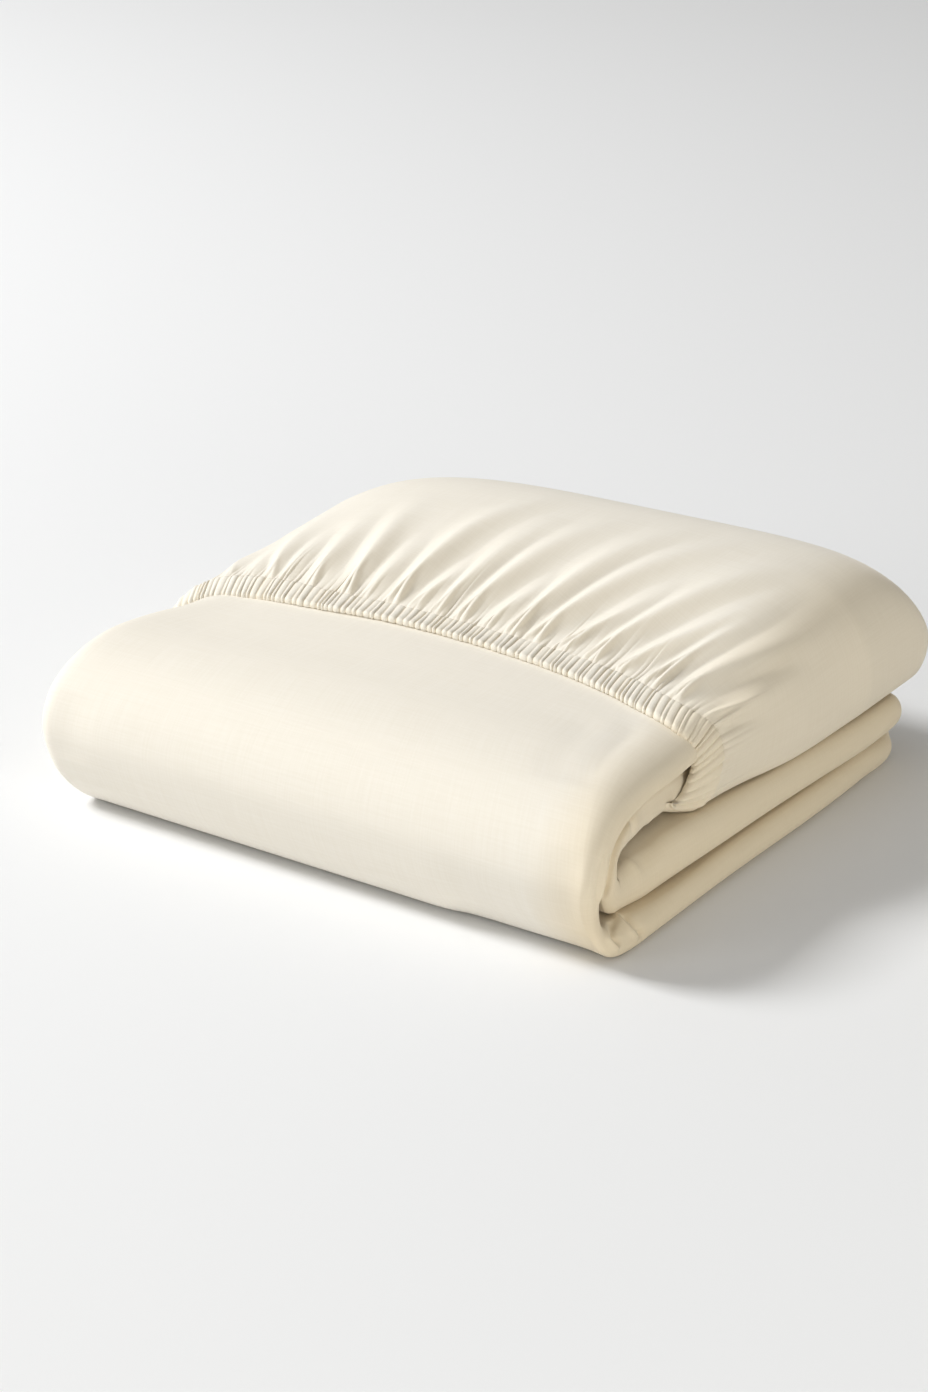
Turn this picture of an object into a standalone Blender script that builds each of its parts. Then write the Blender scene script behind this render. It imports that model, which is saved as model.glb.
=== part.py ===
"""Folded fitted bed sheet with a ruched elastic casing round its corner pocket.

The sheet is folded lengthwise into a long pack. The pack is doubled at the back, doubled again
round the front, and both of its ends run into the sheet's own elastic pocket.
Metres, +Z up, front fold towards -Y, origin on the floor under the middle of the bundle.
"""

from collections import namedtuple
from math import radians

import bmesh
import bpy
import numpy as np
from mathutils import Matrix, Vector

# ---------------------------------------------------------------- driving sizes
BACK = 0.1765               # back fold of the pocket
CROWN = 0.092               # place of the pocket's highest point, from there it rounds off
FULL_RIGHT = 3.5            # how squarely it rounds off at the back, 2 being an ellipse
FULL_LEFT = 2.0
WALL = 0.0030               # the pocket's gathered cloth at its mouth
WALL_INSIDE = 0.0050        # the same with the plies that lie against it further in
CAVITY_BACK = 0.150         # inside end of the pocket, where the pack runs into its cloth
BACK_CORNER = 0.020         # rounding of the pocket's back corners, seen from above
CORNER_LOSS = 0.014         # how far those corners draw in

CASING_WIDTH = 0.0190       # three-quarter-inch elastic casing
CASING_THICK = 0.0027
SEAT_GAP = 0.0007           # between the casing and the cloth that it is sewn to
PLEATS = 80                 # ruches over the top of the casing
PLEAT_HEIGHT = 0.0018
PLEAT_SLANT = 0.014         # lean of the ruches, in shares of the way round
TUCKED = 0.15               # height of ruches left where the casing lies under the pack

BEND_STEP = radians(16.0)   # bend between two sections of the pack
RUN_STEP = 0.045            # straight run between two sections
FACE_POINTS = 9             # points across each face of the pack
ROUND_POINTS = 4            # steps round each half of a fold edge
HALF_WIDTH = 0.18           # of the pack, at which a row's lean is given in full

CLOTH_COLOUR = (0.85, 0.80, 0.69, 1.0)
CASING_COLOUR = (0.86, 0.81, 0.71, 1.0)

# ---------------------------------------------------------------- the folded pack
# One row for each place along the pack, from its end inside the pocket forward over the top,
# round the front, back along the floor, round the back fold, forward, and in again.
# y, z: middle of the pack. thick: its plies together. right, left: reach of its fold edges.
# turn_right, turn_left: how far its outer face rounds off before each fold edge. inner: the same
# on its inner face. lean: how much further forward the right edge lies than the middle.
Fold = namedtuple("Fold", "y z thick right left turn_right turn_left inner lean")
PACK = (
    Fold(0.158, 0.0830, 0.0160, 0.136, 0.136, 0.014, 0.014, 0.004, 0.000),
    Fold(0.138, 0.0840, 0.0220, 0.152, 0.152, 0.026, 0.026, 0.004, 0.000),
    Fold(0.108, 0.0880, 0.0280, 0.164, 0.158, 0.036, 0.036, 0.004, 0.000),
    Fold(0.074, 0.0900, 0.0300, 0.167, 0.160, 0.038, 0.038, 0.004, 0.000),
    Fold(0.044, 0.0880, 0.0270, 0.167, 0.163, 0.036, 0.034, 0.004, 0.000),
    Fold(0.008, 0.0840, 0.0212, 0.168, 0.167, 0.036, 0.032, 0.003, 0.000),
    Fold(-0.014, 0.0818, 0.0190, 0.169, 0.169, 0.036, 0.029, 0.003, 0.000),
    Fold(-0.036, 0.0807, 0.0182, 0.170, 0.1715, 0.036, 0.027, 0.003, 0.000),
    Fold(-0.058, 0.0799, 0.0178, 0.170, 0.1740, 0.035, 0.025, 0.003, 0.000),
    Fold(-0.080, 0.0792, 0.0174, 0.171, 0.1815, 0.032, 0.019, 0.002, 0.000),
    Fold(-0.112, 0.0783, 0.0170, 0.172, 0.1870, 0.028, 0.016, 0.002, 0.000),
    Fold(-0.138, 0.0728, 0.0150, 0.174, 0.1885, 0.024, 0.016, 0.002, 0.001),
    Fold(-0.1555, 0.0610, 0.0136, 0.177, 0.1895, 0.018, 0.014, 0.003, 0.002),
    Fold(-0.1635, 0.0455, 0.0130, 0.1786, 0.1890, 0.012, 0.012, 0.004, 0.002),
    Fold(-0.1637, 0.0330, 0.0126, 0.1755, 0.1875, 0.010, 0.011, 0.005, 0.002),
    Fold(-0.1600, 0.0195, 0.0130, 0.1795, 0.1860, 0.009, 0.010, 0.006, 0.003),
    Fold(-0.1510, 0.0102, 0.0150, 0.1815, 0.1840, 0.008, 0.009, 0.006, 0.003),
    Fold(-0.1380, 0.0078, 0.0154, 0.1830, 0.1820, 0.007, 0.008, 0.006, 0.003),
    Fold(-0.1200, 0.0075, 0.0150, 0.1840, 0.1810, 0.007, 0.007, 0.007, 0.002),
    Fold(-0.0900, 0.0081, 0.0162, 0.1848, 0.1805, 0.007, 0.007, 0.007, 0.001),
    Fold(-0.0400, 0.0090, 0.0180, 0.1856, 0.1808, 0.008, 0.008, 0.008, 0.000),
    Fold(0.0500, 0.00925, 0.0185, 0.1880, 0.1830, 0.008, 0.008, 0.008, 0.000),
    Fold(0.1050, 0.00925, 0.0185, 0.1875, 0.1850, 0.008, 0.008, 0.008, 0.000),
    Fold(0.1400, 0.0090, 0.0176, 0.1855, 0.1850, 0.009, 0.009, 0.009, 0.000),
    Fold(0.1478, 0.0125, 0.0166, 0.1800, 0.1800, 0.010, 0.010, 0.008, 0.000),
    Fold(0.1511, 0.0204, 0.0160, 0.1750, 0.1750, 0.010, 0.010, 0.008, 0.000),
    Fold(0.1478, 0.0283, 0.0168, 0.1840, 0.1800, 0.010, 0.010, 0.008, 0.000),
    Fold(0.1400, 0.0315, 0.0186, 0.1905, 0.1860, 0.009, 0.009, 0.009, 0.000),
    Fold(0.1050, 0.0315, 0.0214, 0.1915, 0.1870, 0.009, 0.009, 0.009, 0.000),
    Fold(0.0500, 0.0316, 0.0218, 0.1885, 0.1840, 0.009, 0.009, 0.009, 0.000),
    Fold(0.0000, 0.0318, 0.0220, 0.1860, 0.1810, 0.009, 0.009, 0.009, 0.000),
    Fold(-0.0500, 0.0320, 0.0240, 0.1835, 0.1780, 0.010, 0.010, 0.009, 0.000),
    Fold(-0.0950, 0.0310, 0.0268, 0.1805, 0.1760, 0.011, 0.011, 0.009, 0.000),
    Fold(-0.1180, 0.0298, 0.0256, 0.1770, 0.1750, 0.010, 0.010, 0.008, 0.000),
    Fold(-0.1295, 0.0292, 0.0204, 0.1745, 0.1740, 0.009, 0.009, 0.008, 0.000),
    Fold(-0.1380, 0.0336, 0.0152, 0.1720, 0.1730, 0.008, 0.008, 0.006, 0.000),
    Fold(-0.1400, 0.0430, 0.0122, 0.1700, 0.1730, 0.006, 0.006, 0.006, 0.000),
    Fold(-0.1360, 0.0510, 0.0130, 0.1700, 0.1720, 0.006, 0.006, 0.008, 0.000),
    Fold(-0.1260, 0.0550, 0.0158, 0.1700, 0.1710, 0.007, 0.007, 0.009, 0.000),
    Fold(-0.1130, 0.0562, 0.0186, 0.1700, 0.1710, 0.007, 0.007, 0.010, 0.000),
    Fold(-0.0980, 0.0582, 0.0186, 0.1700, 0.1710, 0.007, 0.007, 0.010, 0.000),
    Fold(-0.0760, 0.0588, 0.0188, 0.1700, 0.1710, 0.008, 0.008, 0.010, 0.000),
    Fold(-0.0300, 0.0590, 0.0196, 0.1700, 0.1700, 0.008, 0.008, 0.010, 0.000),
    Fold(0.0080, 0.0598, 0.0214, 0.1690, 0.1690, 0.008, 0.008, 0.010, 0.000),
    Fold(0.0440, 0.0606, 0.0232, 0.1680, 0.1670, 0.008, 0.008, 0.010, 0.000),
    Fold(0.0800, 0.0610, 0.0240, 0.1670, 0.1660, 0.008, 0.008, 0.010, 0.000),
    Fold(0.1100, 0.0606, 0.0232, 0.1650, 0.1650, 0.008, 0.008, 0.010, 0.000),
    Fold(0.1380, 0.0608, 0.0186, 0.1580, 0.1580, 0.008, 0.008, 0.009, 0.000),
    Fold(0.1580, 0.0620, 0.0140, 0.1450, 0.1450, 0.006, 0.006, 0.007, 0.000),
)

# ---------------------------------------------------------------- the pocket
# Its section at each place from the mouth to the crown. top: highest point. wide: height of its
# widest point. low: underside. fold: how far the sides turn in below. right, left: reach at the
# widest point. square_right, square_left: how far out the top stays flat, 2 being an ellipse.
Section = namedtuple("Section", "y top wide low fold right left square_right square_left")
POCKET = (
    Section(-0.130, 0.0902, 0.0580, 0.0453, 0.008, 0.1770, 0.1870, 16.0, 18.0),
    Section(-0.076, 0.0920, 0.0580, 0.0453, 0.008, 0.1775, 0.1870, 16.0, 18.0),
    Section(-0.036, 0.0940, 0.0580, 0.0452, 0.007, 0.1785, 0.1872, 14.0, 15.0),
    Section(-0.018, 0.0975, 0.0580, 0.0450, 0.006, 0.1802, 0.1875, 12.0, 11.0),
    Section(0.004, 0.1053, 0.0585, 0.0444, 0.005, 0.1832, 0.1878, 10.0, 7.0),
    Section(0.024, 0.1132, 0.0590, 0.0438, 0.005, 0.1858, 0.1878, 8.5, 5.0),
    Section(0.044, 0.1200, 0.0600, 0.0438, 0.006, 0.1880, 0.1880, 7.5, 4.0),
    Section(0.074, 0.1262, 0.0640, 0.0446, 0.008, 0.1912, 0.1870, 7.0, 3.3),
    Section(0.092, 0.1275, 0.0670, 0.0454, 0.010, 0.1940, 0.1870, 7.0, 3.1),
)

# Line where the casing is sewn to the pocket. share: way round, 0 at the right side, over the top
# to 1 at the left side, and underneath to 2 at the right side again. y: place of the line there.
Mouth = namedtuple("Mouth", "share y")
MOUTH = (
    Mouth(0.00, -0.0480),
    Mouth(0.03, -0.0410),
    Mouth(0.06, -0.0385),
    Mouth(0.10, -0.0400),
    Mouth(0.15, -0.0365),
    Mouth(0.22, -0.0290),
    Mouth(0.30, -0.0235),
    Mouth(0.40, -0.0200),
    Mouth(0.50, -0.0180),
    Mouth(0.60, -0.0175),
    Mouth(0.70, -0.0195),
    Mouth(0.80, -0.0205),
    Mouth(0.88, -0.0270),
    Mouth(0.94, -0.0400),
    Mouth(1.00, -0.0500),
    Mouth(1.05, -0.0640),
    Mouth(1.10, -0.0760),
    Mouth(1.16, -0.0780),
    Mouth(1.28, -0.0740),
    Mouth(1.50, -0.0640),
    Mouth(1.72, -0.0740),
    Mouth(1.83, -0.0780),
    Mouth(1.89, -0.0750),
    Mouth(1.95, -0.0630),
    Mouth(2.00, -0.0480),
)

# Main folds that the gathered mouth throws up over the pocket, steep to the left and gentle to the
# right. start, middle, far: way round of the crest at the casing, 45 mm and 90 mm behind it.
# height: of the fold near the casing. reach: how far back it runs before it is lost.
Gather = namedtuple("Gather", "start middle far height reach")
GATHERS = (
    Gather(0.043, 0.041, 0.040, 0.0026, 0.035),
    Gather(0.077, 0.076, 0.085, 0.0054, 0.075),
    Gather(0.139, 0.125, 0.110, 0.0064, 0.110),
    Gather(0.186, 0.172, 0.165, 0.0058, 0.090),
    Gather(0.243, 0.200, 0.170, 0.0060, 0.090),
    Gather(0.292, 0.263, 0.230, 0.0068, 0.110),
    Gather(0.343, 0.304, 0.285, 0.0054, 0.060),
    Gather(0.388, 0.363, 0.327, 0.0066, 0.115),
    Gather(0.425, 0.412, 0.390, 0.0064, 0.115),
    Gather(0.466, 0.443, 0.425, 0.0044, 0.045),
    Gather(0.508, 0.494, 0.472, 0.0064, 0.105),
    Gather(0.548, 0.539, 0.530, 0.0058, 0.090),
    Gather(0.586, 0.560, 0.545, 0.0046, 0.045),
    Gather(0.618, 0.612, 0.596, 0.0070, 0.115),
    Gather(0.661, 0.660, 0.664, 0.0040, 0.050),
    Gather(0.692, 0.707, 0.722, 0.0064, 0.085),
    Gather(0.752, 0.762, 0.768, 0.0050, 0.065),
    Gather(0.797, 0.800, 0.805, 0.0040, 0.045),
    Gather(0.818, 0.838, 0.842, 0.0046, 0.070),
    Gather(0.850, 0.856, 0.860, 0.0028, 0.035),
    Gather(0.880, 0.905, 0.915, 0.0032, 0.050),
)
GATHER_STEP = 0.045         # between the three places of each row above
GATHER_RISE = 0.014         # within which a fold reaches its height behind the casing
STEEP_SIDE = 0.0080         # shares of the way round in which a fold falls away on its left
GENTLE_SIDE = 0.0150        # and on its right, at the casing
GATHER_SPREAD = 0.10        # by how much both grow for each metre further back

POCKET_TOP = 120            # steps round the pocket over the top, half as many as the casing has
UNDER_STEPS = (6, 18)       # steps round each lower fold, and between them
POCKET_RUNS = (0.0, 0.05, 0.12, 0.21, 0.31, 0.42, 0.54, 0.68, 0.84, 1.0)
BACK_TURNS = (15.0, 30.0, 44.0, 57.0, 69.0, 79.0)   # degrees round the back
CAVITY_RUNS = (1.0, 0.88, 0.74, 0.5, 0.25, 0.0)
PLEAT_PROFILE = (0.0, 1.0, 0.4)                     # heights across one ruche


def read(rows, at):
    """Columns of a table after the first, on a smooth curve through its rows."""
    table = np.array(rows)
    place, values = table[:, 0], table[:, 1:]
    step = np.diff(place)[:, None]
    slope = np.diff(values, axis=0) / step
    lean = np.concatenate((slope[:1], slope, slope[-1:]))
    weight = np.concatenate((step[:1], step, step[-1:]))
    tangent = (lean[:-1] * weight[1:] + lean[1:] * weight[:-1]) / (weight[1:] + weight[:-1])
    at = np.clip(np.atleast_1d(at).astype(float), place[0], place[-1])
    row = np.clip(np.searchsorted(place, at, side="right") - 1, 0, len(place) - 2)
    t = ((at - place[row]) / step[row, 0])[:, None]
    width = step[row]
    return ((2 * t**3 - 3 * t**2 + 1) * values[row] + (t**3 - 2 * t**2 + t) * width * tangent[row]
            + (3 * t**2 - 2 * t**3) * values[row + 1] + (t**3 - t**2) * width * tangent[row + 1])


def material(name, colour, roughness):
    """Plain woven cotton."""
    cotton = bpy.data.materials.new(name)
    cotton.use_nodes = True
    cotton.diffuse_color = colour
    surface = cotton.node_tree.nodes["Principled BSDF"]
    surface.inputs["Base Color"].default_value = colour
    surface.inputs["Roughness"].default_value = roughness
    surface.inputs["Metallic"].default_value = 0.0
    return cotton


def new_object(name, bm, collection, cotton):
    """Closed mesh with its faces outwards, as an object."""
    bmesh.ops.recalc_face_normals(bm, faces=bm.faces)
    mesh = bpy.data.meshes.new(name)
    bm.to_mesh(mesh)
    bm.free()
    mesh.materials.append(cotton)
    mesh.shade_smooth()
    mesh.set_sharp_from_angle(angle=radians(60.0))
    made = bpy.data.objects.new(name, mesh)
    collection.objects.link(made)
    return made


def loft(rings, closed=False):
    """Skin over rings with equal numbers of points; capped, or closed into a loop."""
    bm = bmesh.new()
    loops = [[bm.verts.new(point) for point in ring] for ring in rings]
    pairs = list(zip(loops, loops[1:]))
    if closed:
        pairs.append((loops[-1], loops[0]))
    else:
        bm.faces.new(loops[0])
        bm.faces.new(loops[-1])
    for near, far in pairs:
        for i in range(len(near)):
            j = (i + 1) % len(near)
            bm.faces.new((near[i], near[j], far[j], far[i]))
    return bm


# ---------------------------------------------------------------- pack
def pack_places():
    """Places along the pack, closer together where it bends; each with its heading."""
    rows = np.array(PACK)
    chord = np.sqrt(np.hypot(*np.diff(rows[:, :2], axis=0).T))
    along = np.concatenate(([0.0], np.cumsum(chord)))
    fine = np.linspace(0.0, along[-1], 4000)
    values = read(np.column_stack((along, rows)), fine)
    move = np.gradient(values[:, :2], axis=0)
    heading = np.unwrap(np.arctan2(move[:, 1], move[:, 0]))
    cost = np.hypot(*np.diff(values[:, :2], axis=0).T) / RUN_STEP
    cost = np.concatenate(([0.0], np.cumsum(cost + np.abs(np.diff(heading)) / BEND_STEP)))
    wanted = np.linspace(0.0, cost[-1], int(np.ceil(cost[-1])) + 1)
    columns = [np.interp(wanted, cost, column) for column in values.T]
    return np.column_stack(columns), np.interp(wanted, cost, heading)


def fold_edge(reach, turn, inner, thick):
    """Fold edge of the pack from its outer face round to its inner face, each a quarter ellipse."""
    above = thick * turn / (turn + inner)
    quarter = np.linspace(0.0, np.pi / 2, ROUND_POINTS + 1)
    bend, level = 1.0 - np.sin(quarter), 1.0 - np.cos(quarter)
    outside = [(reach - turn * b, thick / 2 - above * c) for b, c in zip(bend, level)]
    inside = [(reach - inner * b, (thick - above) * c - thick / 2) for b, c in zip(bend, level)]
    return outside + inside[-2::-1]


def pack_ring(place, heading):
    """Section of the pack square to its run: two faces and two rounded fold edges."""
    y, z, thick, right, left, turn_right, turn_left, inner, lean = place
    right_edge = fold_edge(right, turn_right, inner, thick)
    left_edge = [(-x, n) for x, n in fold_edge(left, turn_left, inner, thick)]
    outside = np.linspace(left_edge[0][0], right_edge[0][0], FACE_POINTS)[1:-1]
    inside = np.linspace(right_edge[-1][0], left_edge[-1][0], FACE_POINTS)[1:-1]
    points = [(x, thick / 2) for x in outside] + right_edge
    points += [(x, -thick / 2) for x in inside] + left_edge[::-1]
    ring = []
    for x, n in points:
        forward = lean * x / HALF_WIDTH
        ring.append(Vector((x, y + n * np.sin(heading) - forward, max(z - n * np.cos(heading), 0.0))))
    return ring


# ---------------------------------------------------------------- pocket
def pocket_outline(y, over):
    """Half of the section at y from one side to the other, over the top or underneath."""
    top, wide, low, fold, right, left, square_right, square_left = read(POCKET, y)[0]
    corner = np.clip((y - BACK + BACK_CORNER) / BACK_CORNER, 0.0, 1.0)
    kept = np.sqrt(1.0 - corner**2)
    right, left = right - CORNER_LOSS * (1.0 - kept), left - CORNER_LOSS * (1.0 - kept)
    if over:
        turn = np.linspace(0.0, np.pi, 241)
        side = np.cos(turn)
        square = np.where(side > 0.0, square_right, square_left)
        across = np.sign(side) * np.abs(side) ** (2.0 / square)
        full = FULL_LEFT + (FULL_RIGHT - FULL_LEFT) * (0.5 + 0.5 * across)
        behind = np.clip((y - CROWN) / (BACK - CROWN), 0.0, 1.0)
        height = (top - wide) * np.sqrt(1.0 - behind**full)
        return np.where(across > 0.0, right, left) * across, wide + height * np.sin(turn)
    turn = np.linspace(0.0, np.pi / 2, 25)
    inward = fold * (1.0 - np.cos(turn))
    x = np.concatenate((inward - left, (right - inward)[::-1]))
    down = wide - (wide - low) * kept * np.sin(turn)
    return x, np.concatenate((down, down[::-1]))


def on_pocket(share, y, height):
    """Point at a share of the way round the section at y, lifted off it by a height."""
    x_line, z_line = pocket_outline(y, share <= 1.0)
    travel = np.concatenate(([0.0], np.cumsum(np.hypot(np.diff(x_line), np.diff(z_line)))))
    at = (share if share <= 1.0 else share - 1.0) * travel[-1]
    near = np.clip((at - 0.001, at + 0.001), 0.0, travel[-1])
    x, z = np.interp(at, travel, x_line), np.interp(at, travel, z_line)
    dx, dz = np.diff(np.interp(near, travel, x_line))[0], np.diff(np.interp(near, travel, z_line))[0]
    length = np.hypot(dx, dz)
    return Vector((x + height * dz / length, y, z - height * dx / length))


def gathered(share, back):
    """Height of the main folds, back being how far behind the casing the place is."""
    height = 0.0
    for row in GATHERS:
        t = back / GATHER_STEP
        bend = (row.far - 2.0 * row.middle + row.start) / 2.0
        centre = row.start + (row.middle - row.start - bend) * t + bend * t**2
        half = (STEEP_SIDE if share > centre else GENTLE_SIDE) + GATHER_SPREAD * back
        rise = 1.0 - 0.7 * np.exp(-back / GATHER_RISE)
        fade = 0.5 + 0.5 * np.cos(np.pi * min(back / (1.3 * row.reach), 1.0))
        height = max(height, row.height * rise * fade * np.exp(-((share - centre) / half) ** 2))
    return height


def shares_round(over, corner, under):
    """Shares of the way round: even over the top, closer together at the lower folds."""
    bend = 0.056
    below = np.concatenate((np.linspace(0.0, bend, corner + 1)[:-1],
                            np.linspace(bend, 1.0 - bend, under + 1)[:-1],
                            np.linspace(1.0 - bend, 1.0, corner + 1)[:-1]))
    return np.concatenate((np.linspace(0.0, 1.0, over + 1)[:-1], 1.0 + below))


def pocket_rings():
    """Rings from the inside end forward to the mouth, then back over the gathered outside."""
    share = shares_round(POCKET_TOP, *UNDER_STEPS)
    mouth = read(MOUTH, share)[:, 0]
    rings = []
    for run in CAVITY_RUNS:
        places = mouth + (CAVITY_BACK - mouth) * run
        thick = WALL + (WALL_INSIDE - WALL) * np.sin(np.pi * run)
        rings.append([on_pocket(s, y, -thick if s < 1.0 else -WALL) for s, y in zip(share, places)])
    for run in POCKET_RUNS:
        places = mouth + (CROWN - mouth) * run
        rings.append([on_pocket(s, y, gathered(s, y - m)) for s, y, m in zip(share, places, mouth)])
    for turn in BACK_TURNS:
        y = CROWN + (BACK - CROWN) * np.sin(radians(turn))
        rings.append([on_pocket(s, y, gathered(s, y - m)) for s, m in zip(share, mouth)])
    return rings


# ---------------------------------------------------------------- casing
# Section of the casing from its free edge to the line where it is sewn on, and back inside.
# across: share of its width. rise: share of its thickness. ruche: share of the pleat height.
Rim = namedtuple("Rim", "across rise ruche")
CASING = (
    Rim(0.00, 0.30, 0.30),
    Rim(0.08, 1.00, 1.00),
    Rim(0.92, 1.00, 1.00),
    Rim(1.00, 0.80, 0.60),
    Rim(1.00, 0.00, 0.00),
    Rim(0.00, 0.00, 0.00),
)


def casing_rings():
    """Short sections of the casing one after another round the mouth, three to a ruche."""
    steps = len(PLEAT_PROFILE)
    share = shares_round(PLEATS * steps, *UNDER_STEPS)
    rings = []
    for i, s in enumerate(share):
        over = s < 1.0
        ruche = PLEAT_HEIGHT * PLEAT_PROFILE[i % steps] * (1.0 if over else TUCKED)
        ring = []
        for row in CASING:
            at = (s - PLEAT_SLANT * (1.0 - row.across)) % 2.0
            y = read(MOUTH, at)[0, 0] - SEAT_GAP - CASING_WIDTH * (1.0 - row.across)
            ring.append(on_pocket(at, y, ruche * row.ruche - CASING_THICK * (1.0 - row.rise)))
        rings.append(ring)
    return rings


# ---------------------------------------------------------------- assembly
def centre_on_origin(shapes):
    """Move the shapes together until the middle of their footprint is at the origin."""
    corners = np.array([vertex.co for shape in shapes for vertex in shape.data.vertices])
    middle = (corners.min(axis=0) + corners.max(axis=0)) / 2
    for shape in shapes:
        shape.data.transform(Matrix.Translation((-middle[0], -middle[1], 0.0)))


for old in list(bpy.data.objects):
    bpy.data.objects.remove(old, do_unlink=True)

bundle = bpy.data.collections.new("folded_fitted_sheet")
cutters = bpy.data.collections.new("joined_shapes")
bpy.context.scene.collection.children.link(bundle)
bpy.context.scene.collection.children.link(cutters)

cloth = material("cream_cotton", CLOTH_COLOUR, 0.85)
ruched = material("cream_casing", CASING_COLOUR, 0.88)

places, headings = pack_places()
pack = loft([pack_ring(place, heading) for place, heading in zip(places, headings)])
sheet = new_object("sheet", pack, bundle, cloth)
pocket = new_object("pocket_shape", loft(pocket_rings()), cutters, cloth)
pocket.hide_render = True
pocket.display_type = "WIRE"

join = sheet.modifiers.new("pocket_joined_to_pack", "BOOLEAN")
join.operation = "UNION"
join.solver = "EXACT"
join.object = pocket

casing = new_object("elastic_casing", loft(casing_rings(), closed=True), bundle, ruched)

centre_on_origin((sheet, pocket, casing))
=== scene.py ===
from collections import namedtuple
from math import pi, radians

import bmesh
import bpy
import numpy as np
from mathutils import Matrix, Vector


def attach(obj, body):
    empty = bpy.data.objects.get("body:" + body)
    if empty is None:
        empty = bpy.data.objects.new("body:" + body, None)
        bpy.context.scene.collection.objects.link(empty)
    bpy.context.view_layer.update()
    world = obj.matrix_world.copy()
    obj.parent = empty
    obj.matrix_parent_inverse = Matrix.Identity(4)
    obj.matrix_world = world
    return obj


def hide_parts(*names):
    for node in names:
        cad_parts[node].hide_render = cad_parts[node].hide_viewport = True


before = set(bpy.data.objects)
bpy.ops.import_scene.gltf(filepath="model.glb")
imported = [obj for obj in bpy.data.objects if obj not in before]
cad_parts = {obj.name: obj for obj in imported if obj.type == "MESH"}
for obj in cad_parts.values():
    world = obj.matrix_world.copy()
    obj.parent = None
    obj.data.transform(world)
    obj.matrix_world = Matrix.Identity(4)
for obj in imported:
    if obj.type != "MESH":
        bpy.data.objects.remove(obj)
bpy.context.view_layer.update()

# ---------------------------------------------------------------- studio
# A wide pale floor that fills the view. A soft lamp high on the left gives nearly all the light, and
# four weak ones fill in. The camera stands nearly two metres away and looks down on the front right
# corner.
FLOOR_HALF = 9.0
ground = bpy.data.meshes.new("floor")
bm = bmesh.new()
bmesh.ops.create_grid(bm, x_segments=1, y_segments=1, size=FLOOR_HALF)
bm.to_mesh(ground)
bm.free()
floor = bpy.data.objects.new("floor", ground)
bpy.context.scene.collection.objects.link(floor)

paper = bpy.data.materials.new("floor_paper")
paper.use_nodes = True
surface = paper.node_tree.nodes["Principled BSDF"]
surface.inputs["Base Color"].default_value = (0.872, 0.880, 0.893, 1.0)
surface.inputs["Roughness"].default_value = 0.9
surface.inputs["Specular IOR Level"].default_value = 0.2
floor.data.materials.append(paper)

# place, aim: where a lamp hangs and what it points at. size: side of its square. power: in watts.
Lamp = namedtuple("Lamp", "name place aim size power colour")
LAMPS = (
    Lamp("left", (-3.60, -0.75, 2.88), (0.0, 0.0, 0.05), 1.2, 162.0, (1.0, 1.0, 1.0)),
    Lamp("above", (-0.30, -0.10, 2.40), (0.0, 0.0, 0.05), 1.5, 3.5, (1.0, 1.0, 1.0)),
    Lamp("front", (0.00, -1.80, 0.80), (0.0, 0.0, 0.05), 1.0, 2.2, (1.0, 0.97, 0.92)),
    Lamp("left_front", (-1.60, -2.60, 1.20), (0.0, 0.0, 0.05), 1.2, 14.0, (1.0, 0.985, 0.95)),
    Lamp("right_front", (1.65, -0.60, 0.20), (0.0, 0.0, 0.06), 0.6, 9.2, (1.0, 0.985, 0.94)),
)
for row in LAMPS:
    light = bpy.data.lights.new(row.name, "AREA")
    light.shape = "SQUARE"
    light.size = row.size
    light.energy = row.power
    light.color = row.colour
    lamp = bpy.data.objects.new(row.name, light)
    lamp.location = row.place
    towards = Vector(row.aim) - Vector(row.place)
    lamp.rotation_euler = towards.to_track_quat("-Z", "Y").to_euler()
    bpy.context.scene.collection.objects.link(lamp)

world = bpy.data.worlds.new("studio")
world.use_nodes = True
world.node_tree.nodes["Background"].inputs["Color"].default_value = (1.0, 0.985, 0.95, 1.0)
world.node_tree.nodes["Background"].inputs["Strength"].default_value = 0.39
bpy.context.scene.world = world
bpy.context.scene.view_settings.view_transform = "Standard"
bpy.context.scene.view_settings.gamma = 0.80

FOCAL_LENGTH = 85.01                # in millimetres, like the sides of the picture
PICTURE_WIDE, PICTURE_HIGH = 24.0, 36.0
CAMERA_PLACE = (0.92955, -1.42018, 0.7813)
LOOKS_DOWN, TURNED = 23.4, 33.7     # in degrees
lens = bpy.data.cameras.new("camera")
lens.sensor_fit = "VERTICAL"
lens.sensor_width, lens.sensor_height = PICTURE_WIDE, PICTURE_HIGH
lens.lens = FOCAL_LENGTH
camera = bpy.data.objects.new("camera", lens)
camera.location = CAMERA_PLACE
camera.rotation_euler = (radians(90.0 - LOOKS_DOWN), 0.0, radians(TURNED))
bpy.context.scene.collection.objects.link(camera)
bpy.context.scene.camera = camera


# ---------------------------------------------------------------- cotton cloth
# Fine plain-woven cotton, cream all through: round threads over and under each other, some a
# little thicker than others, and a short nap that catches light at a low angle.
THREAD, RELIEF = 0.00028, 0.00006   # width of a thread, and how high it stands
CROSSING = 0.35                     # relief of a crossing against that of a thicker yarn
ACROSS_YARN, ALONG_YARN = 900.0, 26.0   # changes in a metre, across a thicker yarn and along it
SHADE_TINT = (0.95, 0.878, 0.745, 1.0)   # painted shade, laid over its cream where the cloth turns from the lamp and in grooves


def linked(tree, kind, inputs, **settings):
    """Node with its settings, its inputs set to values or linked to other nodes' outputs."""
    node = tree.nodes.new(kind)
    for name, value in settings.items():
        setattr(node, name, value)
    for name, value in inputs.items():
        if isinstance(value, bpy.types.NodeSocket):
            tree.links.new(value, node.inputs[name])
        else:
            node.inputs[name].default_value = value
    return node


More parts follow.
